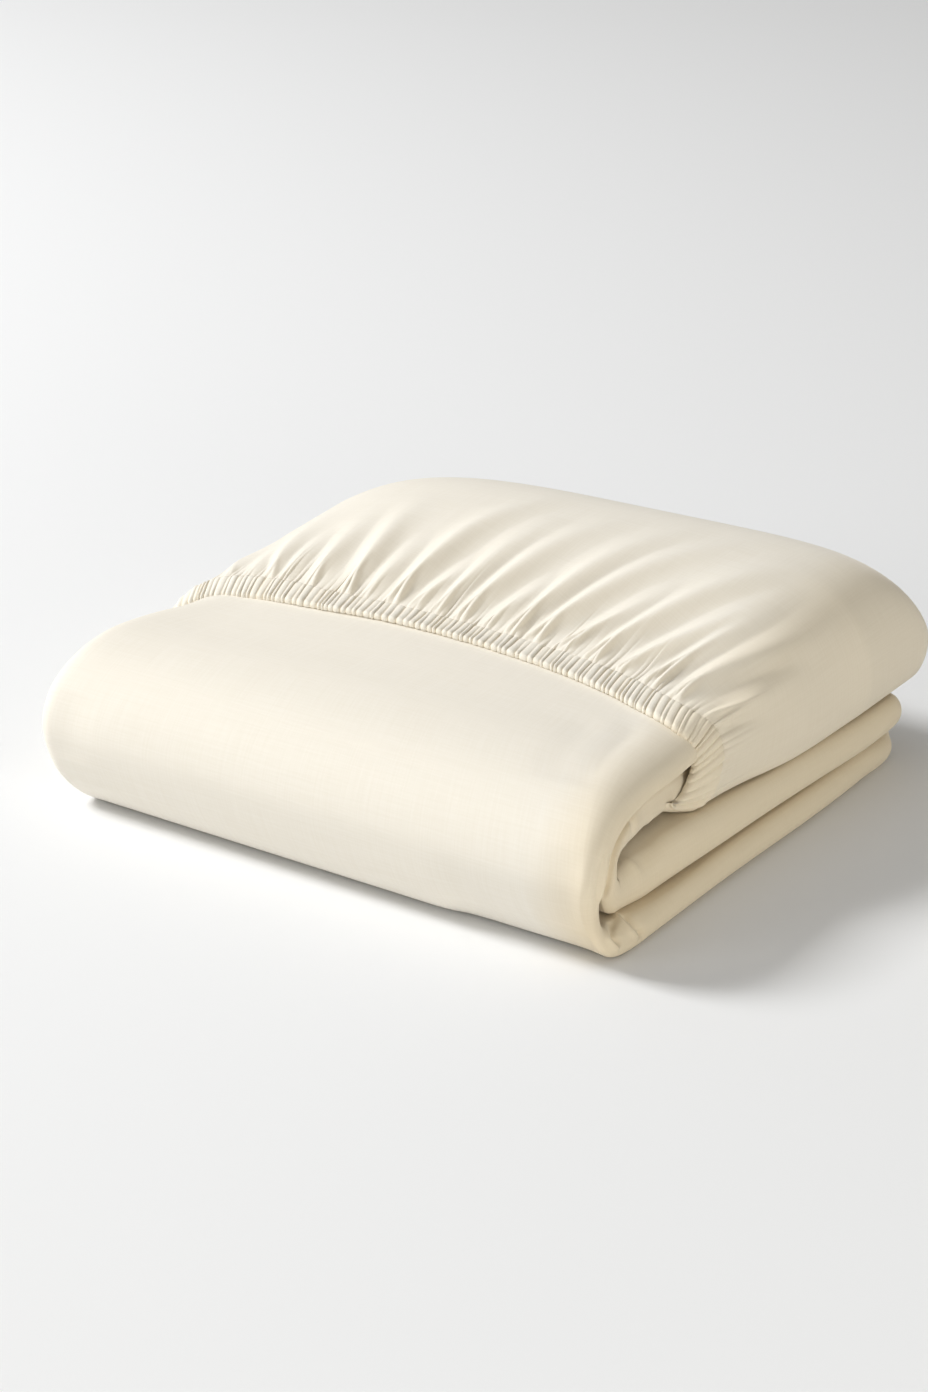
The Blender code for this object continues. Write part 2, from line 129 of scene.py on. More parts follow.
def plain_weave():
    """Group for the threads of a plain weave, from a cloth's own measure in metres, and painted
    shade.
    """
    tree = bpy.data.node_groups.new("plain_weave", "ShaderNodeTree")
    sockets = tree.interface
    for name, kind in (("Measure", "Vector"), ("Thread", "Float"), ("Cloth", "Color"),
                       ("Thick Yarn", "Color"), ("Painted Shade", "Float"), ("Shade Tint", "Color")):
        sockets.new_socket(name, in_out="INPUT", socket_type=f"NodeSocket{kind}")
    for name, kind in (("Color", "Color"), ("Height", "Float"), ("Roughness", "Float")):
        sockets.new_socket(name, in_out="OUTPUT", socket_type=f"NodeSocket{kind}")
    given = tree.nodes.new("NodeGroupInput")
    result = tree.nodes.new("NodeGroupOutput")
    apart = linked(tree, "ShaderNodeSeparateXYZ", {"Vector": given.outputs["Measure"]})
    waves = []
    for axis in "XY":
        turn = linked(tree, "ShaderNodeMath", {0: apart.outputs[axis], 1: given.outputs["Thread"]},
                      operation="DIVIDE")
        angle = linked(tree, "ShaderNodeMath", {0: turn.outputs[0], 1: pi}, operation="MULTIPLY")
        waves.append(linked(tree, "ShaderNodeMath", {0: angle.outputs[0]}, operation="SINE"))
    over_under = linked(tree, "ShaderNodeMath", {0: waves[0].outputs[0], 1: waves[1].outputs[0]},
                        operation="MULTIPLY")
    slubs = []
    for stretch in ((ACROSS_YARN, ALONG_YARN, 1.0), (ALONG_YARN, ACROSS_YARN, 1.0)):
        drawn = linked(tree, "ShaderNodeMapping", {"Vector": given.outputs["Measure"],
                                                   "Scale": stretch})
        slubs.append(linked(tree, "ShaderNodeTexNoise", {"Vector": drawn.outputs[0], "Scale": 1.0,
                                                         "Detail": 2.0, "Roughness": 0.6}))
    both = linked(tree, "ShaderNodeMath", {0: slubs[0].outputs[0], 1: slubs[1].outputs[0]},
                  operation="ADD")
    height = linked(tree, "ShaderNodeMath", {0: over_under.outputs[0], 1: CROSSING,
                                             2: both.outputs[0]}, operation="MULTIPLY_ADD")
    tone = linked(tree, "ShaderNodeMapRange", {"Value": both.outputs[0], "From Min": 0.75,
                                               "From Max": 1.25})
    colour = linked(tree, "ShaderNodeMix", {0: tone.outputs[0], 6: given.outputs["Cloth"],
                                            7: given.outputs["Thick Yarn"]}, data_type="RGBA")
    # painted shade: the colour multiplied by the shade tint, as far as the mesh asks
    painted_shade = linked(tree, "ShaderNodeMix", {0: given.outputs["Painted Shade"], 6: colour.outputs[2],
                                          7: given.outputs["Shade Tint"]}, data_type="RGBA",
                  blend_type="MULTIPLY")
    rough = linked(tree, "ShaderNodeMapRange", {"Value": both.outputs[0], "From Min": 0.7,
                                                "From Max": 1.3, "To Min": 0.72, "To Max": 0.88})
    tree.links.new(painted_shade.outputs[2], result.inputs["Color"])
    tree.links.new(height.outputs[0], result.inputs["Height"])
    tree.links.new(rough.outputs[0], result.inputs["Roughness"])
    return tree


WEAVE = plain_weave()


def cotton(name, cloth, thick_yarn):
    """Cotton of two close tones, the second that of its thicker yarns, with painted shade from the
    mesh.
    """
    made = bpy.data.materials.new(name)
    made.use_nodes = True
    tree = made.node_tree
    shader = tree.nodes["Principled BSDF"]
    measure = linked(tree, "ShaderNodeUVMap", {}, uv_map="threads")
    # painted shade, read from the mesh where it was stored
    painted_shade = linked(tree, "ShaderNodeAttribute", {}, attribute_name="painted_shade")
    weave = linked(tree, "ShaderNodeGroup", {}, node_tree=WEAVE)
    tree.links.new(measure.outputs[0], weave.inputs["Measure"])
    tree.links.new(painted_shade.outputs["Fac"], weave.inputs["Painted Shade"])
    weave.inputs["Shade Tint"].default_value = SHADE_TINT
    weave.inputs["Thread"].default_value = THREAD
    weave.inputs["Cloth"].default_value = cloth
    weave.inputs["Thick Yarn"].default_value = thick_yarn
    bump = linked(tree, "ShaderNodeBump", {"Height": weave.outputs["Height"], "Strength": 0.6,
                                           "Distance": RELIEF})
    tree.links.new(weave.outputs["Color"], shader.inputs["Base Color"])
    tree.links.new(weave.outputs["Roughness"], shader.inputs["Roughness"])
    tree.links.new(bump.outputs[0], shader.inputs["Normal"])
    shader.inputs["Specular IOR Level"].default_value = 0.25
    shader.inputs["Sheen Weight"].default_value = 0.30
    shader.inputs["Sheen Roughness"].default_value = 0.45
    shader.inputs["Sheen Tint"].default_value = (1.0, 0.99, 0.97, 1.0)
    return made


percale = cotton("cream_percale", (0.850, 0.812, 0.735, 1.0), (0.874, 0.840, 0.770, 1.0))

# ---------------------------------------------------------------- the folded pack
# The sheet's cotton plies, pressed flat and folded lengthwise into one long pack. From inside the
# pocket it runs forward over the top and round the front, as the wrap, then back along the floor,
# round the back fold, forward again and round the inner fold into the pocket.
MIDDLE = np.array((0.002252, 0.001281, 0.0))    # of the footprint, in the tables' own measure
# y, z: middle of the pack. thick: its plies together. right, left: reach of its fold edges.
# turn_right, turn_left: how far its outer face rounds off before each fold edge. inner: the same
# on its inner face. lean: how much further forward the right edge lies than the middle.
Fold = namedtuple("Fold", "y z thick right left turn_right turn_left inner lean")
PACK = (
    Fold(0.158, 0.0830, 0.0160, 0.136, 0.136, 0.014, 0.014, 0.004, 0.000),
    Fold(0.138, 0.0840, 0.0220, 0.152, 0.152, 0.026, 0.026, 0.004, 0.000),
    Fold(0.108, 0.0880, 0.0280, 0.164, 0.158, 0.036, 0.036, 0.004, 0.000),
    Fold(0.074, 0.0900, 0.0300, 0.167, 0.160, 0.038, 0.038, 0.004, 0.000),
    Fold(0.044, 0.0880, 0.0270, 0.167, 0.163, 0.036, 0.034, 0.004, 0.000),
    Fold(0.008, 0.0840, 0.0212, 0.168, 0.167, 0.036, 0.032, 0.003, 0.000),
    Fold(-0.014, 0.0818, 0.0190, 0.169, 0.169, 0.036, 0.029, 0.003, 0.000),
    Fold(-0.036, 0.0807, 0.0182, 0.170, 0.1715, 0.036, 0.027, 0.003, 0.000),
    Fold(-0.058, 0.0799, 0.0178, 0.170, 0.1740, 0.035, 0.025, 0.003, 0.000),
    Fold(-0.080, 0.0792, 0.0174, 0.171, 0.1815, 0.032, 0.019, 0.002, 0.000),
    Fold(-0.112, 0.0783, 0.0170, 0.172, 0.1870, 0.028, 0.016, 0.002, 0.000),
    Fold(-0.138, 0.0728, 0.0150, 0.1738, 0.1885, 0.018, 0.016, 0.002, 0.001),
    Fold(-0.1555, 0.0610, 0.0136, 0.1756, 0.1895, 0.011, 0.014, 0.002, 0.002),
    Fold(-0.1637, 0.0455, 0.0130, 0.1766, 0.1885, 0.008, 0.012, 0.002, 0.002),
    Fold(-0.1642, 0.0320, 0.0132, 0.1757, 0.1850, 0.007, 0.012, 0.004, 0.002),
    Fold(-0.1612, 0.0185, 0.0146, 0.1790, 0.1790, 0.006, 0.012, 0.009, 0.003),
    Fold(-0.1530, 0.0104, 0.0174, 0.1812, 0.1710, 0.005, 0.012, 0.012, 0.003),
    Fold(-0.1385, 0.0084, 0.0168, 0.1830, 0.1690, 0.005, 0.011, 0.012, 0.003),
    Fold(-0.1200, 0.0077, 0.0154, 0.1840, 0.1715, 0.006, 0.009, 0.009, 0.002),
    Fold(-0.0900, 0.0081, 0.0162, 0.1848, 0.1770, 0.007, 0.007, 0.007, 0.001),
    Fold(-0.0400, 0.0090, 0.0180, 0.1856, 0.1808, 0.008, 0.008, 0.008, 0.000),
    Fold(0.0500, 0.00925, 0.0185, 0.1880, 0.1830, 0.008, 0.008, 0.008, 0.000),
    Fold(0.1050, 0.00925, 0.0185, 0.1875, 0.1850, 0.008, 0.008, 0.008, 0.000),
    Fold(0.1400, 0.0090, 0.0176, 0.1855, 0.1850, 0.009, 0.009, 0.009, 0.000),
    Fold(0.1478, 0.0125, 0.0166, 0.1800, 0.1800, 0.010, 0.010, 0.008, 0.000),
    Fold(0.1511, 0.0204, 0.0160, 0.1750, 0.1750, 0.010, 0.010, 0.008, 0.000),
    Fold(0.1478, 0.0283, 0.0168, 0.1840, 0.1800, 0.010, 0.010, 0.008, 0.000),
    Fold(0.1400, 0.0315, 0.0186, 0.1905, 0.1860, 0.009, 0.009, 0.009, 0.000),
    Fold(0.1050, 0.0315, 0.0214, 0.1915, 0.1870, 0.009, 0.009, 0.009, 0.000),
    Fold(0.0500, 0.0316, 0.0218, 0.1885, 0.1840, 0.009, 0.009, 0.009, 0.000),
    Fold(0.0000, 0.0318, 0.0220, 0.1860, 0.1810, 0.009, 0.009, 0.009, 0.000),
    Fold(-0.0500, 0.0320, 0.0240, 0.1835, 0.1780, 0.010, 0.010, 0.009, 0.000),
    Fold(-0.0950, 0.0310, 0.0268, 0.1795, 0.1760, 0.010, 0.011, 0.009, 0.000),
    Fold(-0.1180, 0.0290, 0.0270, 0.1762, 0.1750, 0.009, 0.010, 0.008, 0.000),
    Fold(-0.1310, 0.0278, 0.0236, 0.1744, 0.1740, 0.008, 0.009, 0.008, 0.000),
    Fold(-0.1430, 0.0290, 0.0190, 0.1742, 0.1730, 0.004, 0.008, 0.005, 0.000),
    Fold(-0.1478, 0.0390, 0.0132, 0.1744, 0.1730, 0.003, 0.006, 0.004, 0.000),
    Fold(-0.1450, 0.0490, 0.0130, 0.1732, 0.1720, 0.003, 0.006, 0.004, 0.000),
    Fold(-0.1330, 0.0550, 0.0150, 0.1706, 0.1710, 0.004, 0.007, 0.003, 0.000),
    Fold(-0.1130, 0.0562, 0.0190, 0.1682, 0.1710, 0.005, 0.007, 0.006, 0.000),
    Fold(-0.0980, 0.0580, 0.0188, 0.1670, 0.1710, 0.006, 0.007, 0.009, 0.000),
    Fold(-0.0760, 0.0586, 0.0188, 0.1667, 0.1710, 0.007, 0.008, 0.012, 0.000),
    Fold(-0.0300, 0.0590, 0.0196, 0.1670, 0.1700, 0.008, 0.008, 0.012, 0.000),
    Fold(0.0080, 0.0598, 0.0214, 0.1690, 0.1690, 0.008, 0.008, 0.010, 0.000),
    Fold(0.0440, 0.0606, 0.0232, 0.1680, 0.1670, 0.008, 0.008, 0.010, 0.000),
    Fold(0.0800, 0.0610, 0.0240, 0.1670, 0.1660, 0.008, 0.008, 0.010, 0.000),
    Fold(0.1100, 0.0606, 0.0232, 0.1650, 0.1650, 0.008, 0.008, 0.010, 0.000),
    Fold(0.1380, 0.0608, 0.0186, 0.1580, 0.1580, 0.008, 0.008, 0.009, 0.000),
    Fold(0.1580, 0.0620, 0.0140, 0.1450, 0.1450, 0.006, 0.006, 0.007, 0.000),
)
# How much higher the wrap lies in the middle than towards its fold edges, from front to back.
Crowned = namedtuple("Crowned", "y rise")
WRAP_CROWN = (
    Crowned(-0.170, 0.0000),
    Crowned(-0.150, 0.0004),
    Crowned(-0.120, 0.0019),
    Crowned(-0.090, 0.0038),
    Crowned(-0.060, 0.0052),
    Crowned(-0.035, 0.0053),
    Crowned(0.020, 0.0053),
    Crowned(0.110, 0.0000),
)
CROWN_HALF = 0.140                  # half the width that rises
CROWN_EASE = 1.2                    # how it falls off to either side, 1 being a plain arch
LOWEST_CROWNED = 0.070              # height of the pack's middle from which the crown is added
# Painted shade: the cloth is made darker and warmer on the right, the side turned away from the main
# lamp, from one place on and fully after a stretch. The wrap's outer face takes less of that, as a
# painted highlight on its rounded edge, down its front to a lowest height, with a stretch above it
# in which the two tones meet.
SHADE_FROM, SHADE_OVER = 0.135, 0.035
WRAP_SHADE_SPARED = 0.3
LOWEST_WRAP, WRAP_OVER = 0.020, 0.030
FINE_STEPS = 8000                   # along the pack, to measure its run and its bends
BEND_STEP = radians(2.6)            # bend between two sections of the pack
RUN_STEP = 0.0060                   # straight run between two sections
FRONT, FRONT_STEP = -0.112, 0.0016  # forward of there, the run between two sections
FACE_STEPS, LEFT_STEPS, RIGHT_STEPS = 40, 8, 20   # across each face, round half of each fold edge
HALF_WIDTH = 0.18                   # of the pack, at which a row's lean is given in full


def smooth(rows, at):
    """Columns of a table after the first, on a smooth curve through its rows."""
    table = np.array(rows)
    place, values = table[:, 0], table[:, 1:]
    step = np.diff(place)[:, None]
    slope = np.diff(values, axis=0) / step
    lean = np.concatenate((slope[:1], slope, slope[-1:]))
    weight = np.concatenate((step[:1], step, step[-1:]))
    tangent = (lean[:-1] * weight[1:] + lean[1:] * weight[:-1]) / (weight[1:] + weight[:-1])
    at = np.clip(np.asarray(at, dtype=float), place[0], place[-1])
    row = np.clip(np.searchsorted(place, at, side="right") - 1, 0, len(place) - 2)
    t = ((at - place[row]) / step[row, 0])[..., None]
    width = step[row]
    return ((2 * t**3 - 3 * t**2 + 1) * values[row] + (t**3 - 2 * t**2 + t) * width * tangent[row]
            + (3 * t**2 - 2 * t**3) * values[row + 1] + (t**3 - t**2) * width * tangent[row + 1])


def outward(points):
    """Directions square to the surface that rows of points make, closed round."""
    across = np.roll(points[:, :-1], -1, axis=1) - np.roll(points[:, :-1], 1, axis=1)
    across = np.hstack((across, across[:, :1]))
    out = np.cross(np.gradient(points, axis=0), across)
    return out / np.maximum(np.linalg.norm(out, axis=2, keepdims=True), 1e-12)


def woven(name, points, material, painted_shade, closed_round=False, closed_along=False, caps=False):
    """Piece of cloth: a flat woven grid laid through rows of points, measured in metres.

    painted_shade: how much of the painted shade each point takes. closed_round, closed_along: its
    first and last columns or rows meet. caps: both its ends are filled.
    """
    rows, columns = points.shape[:2]
    bm = bmesh.new()
    threads = bm.loops.layers.uv.new("threads")
    # painted shade, stored on each vertex for the cloth's material
    shade_layer = bm.verts.layers.float.new("painted_shade")
    bmesh.ops.create_grid(bm, x_segments=columns - 1, y_segments=rows - 1, size=0.5)
    around = np.linalg.norm(np.diff(points, axis=1), axis=2).mean(axis=0)
    along = np.linalg.norm(np.diff(points, axis=0), axis=2).mean(axis=1)
    around = np.concatenate(([0.0], np.cumsum(around)))
    along = np.concatenate(([0.0], np.cumsum(along)))
    spot = {}
    for vertex in bm.verts:
        i = round((vertex.co.y + 0.5) * (rows - 1))
        j = round((vertex.co.x + 0.5) * (columns - 1))
        spot[vertex] = (i, j)
    for face in bm.faces:
        face.smooth = True
        for loop in face.loops:
            i, j = spot[loop.vert]
            loop[threads].uv = (around[j], along[i])
    for vertex, (i, j) in spot.items():
        vertex.co = points[i, j]
        vertex[shade_layer] = painted_shade[i, j]
    if caps:
        ends = [e for e in bm.edges if e.is_boundary and spot[e.verts[0]][0] == spot[e.verts[1]][0]]
    if closed_round or closed_along:
        bmesh.ops.remove_doubles(bm, verts=bm.verts, dist=1e-7)
    if caps:
        bmesh.ops.holes_fill(bm, edges=[e for e in ends if e.is_valid], sides=0)
    bmesh.ops.recalc_face_normals(bm, faces=bm.faces)
    mesh = bpy.data.meshes.new(name)
    bm.to_mesh(mesh)
    bm.free()
    mesh.materials.append(material)
    made = bpy.data.objects.new(name, mesh)
    bpy.context.scene.collection.objects.link(made)
    return made


def pack_sections():
    """Sections of the pack from one end to the other, closer together where it bends."""
    rows = np.array(PACK)
    chord = np.sqrt(np.hypot(*np.diff(rows[:, :2], axis=0).T))
    along = np.concatenate(([0.0], np.cumsum(chord)))
    values = smooth(np.column_stack((along, rows)), np.linspace(0.0, along[-1], FINE_STEPS))
    move = np.gradient(values[:, :2], axis=0)
    heading = np.unwrap(np.arctan2(move[:, 1], move[:, 0]))
    cost = np.hypot(*np.diff(values[:, :2], axis=0).T)
    cost = cost / np.where(values[1:, 0] < FRONT, FRONT_STEP, RUN_STEP)
    cost = np.maximum(cost, np.abs(np.diff(heading)) / BEND_STEP)
    cost = np.concatenate(([0.0], np.cumsum(cost)))
    wanted = np.linspace(0.0, cost[-1], int(np.ceil(cost[-1])) + 1)
    columns = [np.interp(wanted, cost, column)[:, None] for column in values.T]
    return columns, np.interp(wanted, cost, heading)[:, None]


def fold_edge(reach, turn, inner, thick, steps):
    """Fold edge from the outer face round to the inner face, each half a quarter ellipse."""
    above = thick * turn / (turn + inner)
    quarter = np.linspace(0.0, pi / 2, steps + 1)
    bend, level = 1.0 - np.sin(quarter), 1.0 - np.cos(quarter)
    x = np.hstack((reach - turn * bend, (reach - inner * bend)[:, -2::-1]))
    n = np.hstack((thick / 2 - above * level, ((thick - above) * level - thick / 2)[:, -2::-1]))
    return x, n


# Creases and soft dents of the pack. rise: their height, or below zero their depth.
# width: within which they fade. path: places along them.
Crease = namedtuple("Crease", "rise width path")
CREASES = (
    # the wrap's edge with its lip stands out over the ply tucked behind it, down to the pinch
    Crease(-0.0036, 0.0020, ((0.1655, -0.1150, 0.0650), (0.1668, -0.1270, 0.0621),
                             (0.1681, -0.1368, 0.0574), (0.1695, -0.1448, 0.0521),
                             (0.1702, -0.1487, 0.0472), (0.1707, -0.1512, 0.0416),
                             (0.1706, -0.1538, 0.0360), (0.1695, -0.1548, 0.0310))),
    Crease(0.0010, 0.0014, ((0.1728, -0.1525, 0.0617), (0.1733, -0.1588, 0.0578),
                            (0.1740, -0.1598, 0.0517), (0.1743, -0.1621, 0.0472),
                            (0.1739, -0.1631, 0.0408), (0.1732, -0.1638, 0.0342))),
    Crease(-0.0010, 0.0022, ((0.1722, -0.1560, 0.0620), (0.1730, -0.1640, 0.0543),
                             (0.1734, -0.1664, 0.0487), (0.1736, -0.1675, 0.0426),
                             (0.1734, -0.1665, 0.0350))),
    # that ply turns down with a kink, above a soft hollow, and lies back a little along its edge
    Crease(-0.0022, 0.0018, ((0.1661, -0.1200, 0.0650), (0.1673, -0.1208, 0.0575),
                             (0.1675, -0.1190, 0.0510))),
    Crease(-0.0022, 0.0095, ((0.1670, -0.1000, 0.0440), (0.1684, -0.1122, 0.0430),
                             (0.1700, -0.1240, 0.0400))),
    Crease(-0.0016, 0.0050, ((0.1663, -0.0640, 0.0600), (0.1663, -0.0863, 0.0604),
                             (0.1665, -0.0995, 0.0600), (0.1668, -0.1140, 0.0585))),
    # below the pinch two plies part, with small flat facets between them
    Crease(0.0024, 0.0018, ((0.1690, -0.1511, 0.0200), (0.1755, -0.1573, 0.0186),
                            (0.1784, -0.1611, 0.0155), (0.1791, -0.1581, 0.0098),
                            (0.1792, -0.1543, 0.0059))),
    Crease(-0.0022, 0.0020, ((0.1699, -0.1462, 0.0179), (0.1751, -0.1528, 0.0166),
                             (0.1781, -0.1565, 0.0134), (0.1790, -0.1530, 0.0080))),
    Crease(0.0024, 0.0018, ((0.1678, -0.1408, 0.0172), (0.1739, -0.1430, 0.0154),
                            (0.1786, -0.1429, 0.0121), (0.1807, -0.1382, 0.0062))),
    Crease(-0.0030, 0.0024, ((0.1699, -0.1384, 0.0168), (0.1751, -0.1390, 0.0140),
                             (0.1788, -0.1371, 0.0097), (0.1802, -0.1334, 0.0051))),
    Crease(-0.0018, 0.0022, ((0.1800, -0.1352, 0.0092), (0.1800, -0.1329, 0.0025))),
    # soft dents in the wrap in front of the casing's right end and beside its own right edge
    Crease(-0.0012, 0.0080, ((0.1172, -0.0790, 0.0878), (0.1241, -0.1147, 0.0867),
                             (0.1272, -0.1400, 0.0810))),
    Crease(-0.0017, 0.0080, ((0.1365, -0.0657, 0.0885), (0.1384, -0.0870, 0.0878),
                             (0.1418, -0.1102, 0.0872), (0.1432, -0.1380, 0.0815))),
    Crease(0.0008, 0.0060, ((0.1260, -0.0700, 0.0880), (0.1300, -0.0980, 0.0878),
                            (0.1335, -0.1300, 0.0850))),
    # soft hollows down the front near its right edge, along its foot and near its left end
    Crease(-0.0016, 0.0070, ((0.1603, -0.1708, 0.0620), (0.1592, -0.1736, 0.0422),
                             (0.1552, -0.1724, 0.0200))),
    Crease(-0.0035, 0.0180, ((0.0800, -0.1710, 0.0120), (0.1350, -0.1710, 0.0100),
                             (0.1800, -0.1660, 0.0120))),
    Crease(-0.0012, 0.0090, ((-0.1659, -0.1613, 0.0680), (-0.1655, -0.1678, 0.0519),
                             (-0.1660, -0.1700, 0.0300))),
)
CREASE_ENDS = 6             # how late a crease fades towards its ends


def creased(points, creases):
    """Rows of points pushed out or in along creases, square to the surface they make."""
    out, push = outward(points), np.zeros(points.shape[:2])
    for row in creases:
        path = np.array(row.path)
        travel = np.concatenate(([0.0], np.cumsum(np.linalg.norm(np.diff(path, axis=0), axis=1))))
        nearest, share = np.full(push.shape, np.inf), np.zeros(push.shape)
        for start, end, first, last in zip(path[:-1], path[1:], travel[:-1], travel[1:]):
            run = end - start
            t = np.clip((points - start) @ run / (run @ run), 0.0, 1.0)
            gap = np.linalg.norm(points - start - t[..., None] * run, axis=2)
            share = np.where(gap < nearest, (first + (last - first) * t) / travel[-1], share)
            nearest = np.minimum(nearest, gap)
        ends = 1.0 - (2.0 * share - 1.0) ** CREASE_ENDS
        push += row.rise * np.exp(-(nearest / row.width) ** 2) * ends
    return points + push[..., None] * out


def pack_points():
    """Points of the pack in closed sections, and how much each is of the wrap's outer face, spared
    painted shade.
    """
    (y, z, thick, right, left, turn_right, turn_left, inner, lean), heading = pack_sections()
    right_x, right_n = fold_edge(right, turn_right, inner, thick, RIGHT_STEPS)
    left_x, left_n = fold_edge(left, turn_left, inner, thick, LEFT_STEPS)
    share = np.linspace(0.0, 1.0, FACE_STEPS + 1)
    outside = -left_x[:, :1] + (right_x[:, :1] + left_x[:, :1]) * share
    inside = right_x[:, -1:] - (right_x[:, -1:] + left_x[:, -1:]) * share
    half = np.ones_like(outside) * thick / 2
    x = np.hstack((outside, right_x[:, 1:], inside[:, 1:], -left_x[:, -2::-1]))
    n = np.hstack((half, right_n[:, 1:], -half[:, 1:], left_n[:, -2::-1]))
    forward = lean * x / HALF_WIDTH
    crown = smooth(WRAP_CROWN, y)[..., 0] * np.clip(-np.cos(heading), 0.0, 1.0)
    arch = np.clip(1.0 - (x / CROWN_HALF) ** 2, 0.0, 1.0) ** CROWN_EASE
    z = z + crown * (z > LOWEST_CROWNED) * arch
    points = np.stack((x, y + n * np.sin(heading) - forward, z - n * np.cos(heading)), axis=2)
    points = creased(points - MIDDLE, CREASES)
    points[:, :, 2] = np.maximum(points[:, :, 2], 0.0)
    wrap = np.clip((z[:, :1] - LOWEST_WRAP) / WRAP_OVER, 0.0, 1.0)
    wrap = wrap * (np.arange(len(z)) < np.argmax(z[:, 0] < LOWEST_WRAP))[:, None]
    return points, wrap * (0.5 + n / thick)


def shaded_side(points):
    """How far points lie into the right side, away from the main lamp, where shade is painted, from
    0 to 1.
    """
    return np.clip((points[:, :, 0] - SHADE_FROM) / SHADE_OVER, 0.0, 1.0)


pack_rows, pack_outer = pack_points()
# painted shade on the right side, less of it on the wrap's outer face, painted lighter as if lit
pack_shade = shaded_side(pack_rows) * (1.0 - WRAP_SHADE_SPARED * pack_outer)
pack = woven("folded_pack", pack_rows, percale, pack_shade, closed_round=True, caps=True)
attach(pack, "root")
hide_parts("sheet")

# ---------------------------------------------------------------- the corner pocket
# The sheet's own sewn corner, pulled back over the pack and closed by its elastic: the same cloth,
# stretched smooth over the back and thrown up into long soft folds where the elastic gathers it.
BACK = 0.1765               # back fold of the pocket
HIGHEST = 0.092             # place of its highest point, from there it rounds off
FULL_RIGHT = 3.5            # how squarely it rounds off at the back on the right
FULL_LEFT = 2.0             # and on the left, 2 being an ellipse
BACK_CORNER = 0.020         # rounding of the back corners, seen from above
CORNER_LOSS = 0.014         # how far those corners draw in
# top: highest point. wide: height of its widest point. low: underside. fold: how far the sides
# turn in below. right, left: reach at the widest point. square_right, square_left: how far out
# the top stays flat, 2 being an ellipse.
Section = namedtuple("Section", "y top wide low fold right left square_right square_left")
POCKET = (
    Section(-0.130, 0.0902, 0.0580, 0.0453, 0.008, 0.1770, 0.1870, 16.0, 18.0),
    Section(-0.076, 0.0920, 0.0580, 0.0453, 0.008, 0.1775, 0.1870, 16.0, 18.0),
    Section(-0.036, 0.0940, 0.0580, 0.0452, 0.007, 0.1785, 0.1872, 14.0, 15.0),
    Section(-0.018, 0.0975, 0.0580, 0.0450, 0.006, 0.1802, 0.1875, 12.0, 11.0),
    Section(0.004, 0.1053, 0.0585, 0.0444, 0.005, 0.1832, 0.1878, 10.0, 7.0),
    Section(0.024, 0.1132, 0.0590, 0.0438, 0.005, 0.1858, 0.1878, 8.5, 5.0),
    Section(0.044, 0.1200, 0.0600, 0.0438, 0.006, 0.1880, 0.1880, 7.5, 4.0),
    Section(0.074, 0.1262, 0.0640, 0.0446, 0.008, 0.1912, 0.1870, 7.0, 3.3),
    Section(0.092, 0.1275, 0.0670, 0.0454, 0.010, 0.1940, 0.1870, 7.0, 3.1),
)
# Line where the casing is sewn on. share: way round, 0 at the right side, over the top to 1 at the
# left side, and underneath to 2 at the right side again. y: place of the line there.
Mouth = namedtuple("Mouth", "share y")
MOUTH = (
    Mouth(0.00, -0.0480),
    Mouth(0.03, -0.0410),
    Mouth(0.06, -0.0385),
    Mouth(0.10, -0.0400),
    Mouth(0.15, -0.0365),
    Mouth(0.22, -0.0290),
    Mouth(0.30, -0.0235),
    Mouth(0.40, -0.0200),
    Mouth(0.50, -0.0180),
    Mouth(0.60, -0.0175),
    Mouth(0.70, -0.0195),
    Mouth(0.80, -0.0205),
    Mouth(0.88, -0.0270),
    Mouth(0.94, -0.0400),
    Mouth(1.00, -0.0500),
    Mouth(1.05, -0.0640),
    Mouth(1.10, -0.0760),
    Mouth(1.16, -0.0780),
    Mouth(1.28, -0.0740),
    Mouth(1.50, -0.0640),
    Mouth(1.72, -0.0740),
    Mouth(1.83, -0.0780),
    Mouth(1.89, -0.0750),
    Mouth(1.95, -0.0630),
    Mouth(2.00, -0.0480),
)
